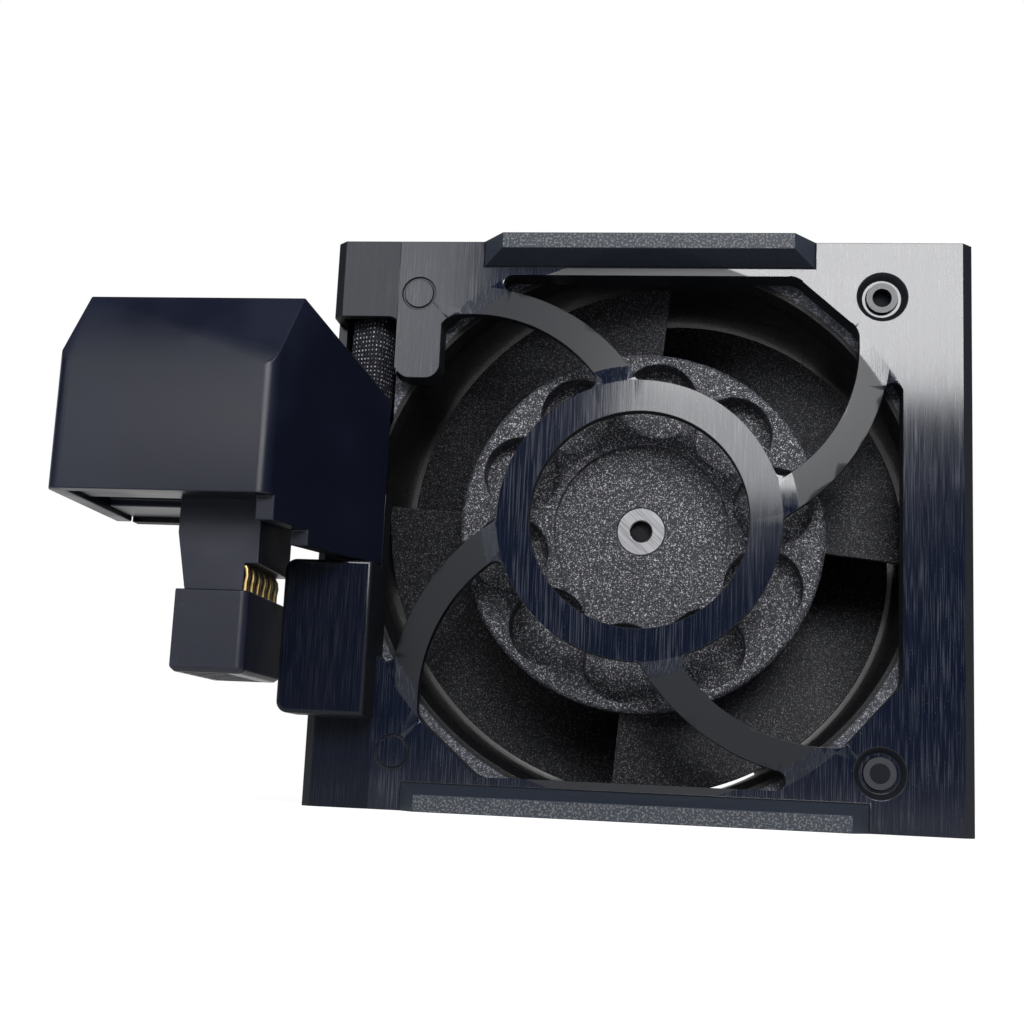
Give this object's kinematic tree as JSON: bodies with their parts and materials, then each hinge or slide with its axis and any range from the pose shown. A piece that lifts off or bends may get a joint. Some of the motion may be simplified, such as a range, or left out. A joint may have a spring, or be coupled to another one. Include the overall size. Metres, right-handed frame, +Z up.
{
  "type": "server fan module",
  "caption": "Axial cooling fan in a moulded carrier with a spiral finger guard, a side hood and a downward blind-mate plug.",
  "frame": {"origin": "on the base, below the fan's axis, on the plate's front plane", "axes": "+Z up, +Y into the module along the air flow, +X to the right seen from the front"},
  "size_m": [0.0917, 0.0628, 0.062],
  "materials": {
    "guard_plastic": "smooth black moulding, rubbed bright in fine straight scratches",
    "carrier_plastic": "fine spark texture",
    "hood_plastic": "satin blue-black",
    "fan_plastic": "glass-filled, speckled dark grey",
    "plug_plastic": "satin",
    "contact_gold": "gold plated",
    "turned_metal": "turned bright",
    "steel": "plain",
    "bearing_steel": "ground",
    "brass": "turned",
    "magnet": "bonded ferrite",
    "laminations": "stacked sheet",
    "insulator": "natural nylon",
    "copper": "enamelled wire",
    "board": "solder resist",
    "chips": "moulded",
    "rivet_plastic": "smooth",
    "pad_rubber": "soft",
    "braid": "woven monofilament",
    "lead_insulation": "extruded",
    "zinc": "plated"
  },
  "bodies": {
    "module": {"front_guard": "guard_plastic", "carrier_shell": "carrier_plastic", "side_bracket": "carrier_plastic", "cable_hood": "hood_plastic", "connector_holder": "hood_plastic", "connector_body": "plug_plastic", "connector_block": "plug_plastic", "connector_terminals": "contact_gold", "fan_housing": "fan_plastic", "front_bearing": "bearing_steel", "rear_bearing": "bearing_steel", "bearing_tube": "brass", "preload_washer": "steel", "end_plug": "rivet_plastic", "stator_core": "laminations", "stator_insulators": "insulator", "stator_coils": "copper", "circuit_board": "board", "board_components": "chips", "push_rivets": "rivet_plastic", "rivet_pins": "rivet_plastic", "rubber_pads": "pad_rubber", "sleeved_cable": "braid", "motor_leads": "lead_insulation", "plug_leads": "lead_insulation", "hood_screws": "zinc"},
    "rotor": {"impeller": "fan_plastic", "shaft_bush": "turned_metal", "motor_shaft": "steel", "shaft_spacer": "brass", "retaining_clip": "steel", "rotor_cup": "steel", "ring_magnet": "magnet", "bearing_inner_rings": "bearing_steel"}
  },
  "joints": [
    {"name": "rotor_spin", "type": "hinge", "parent": "module", "child": "rotor", "pos_m": [0, 0.0173, 0.031], "axis": [0, 1, 0], "continuous": true}
  ]
}
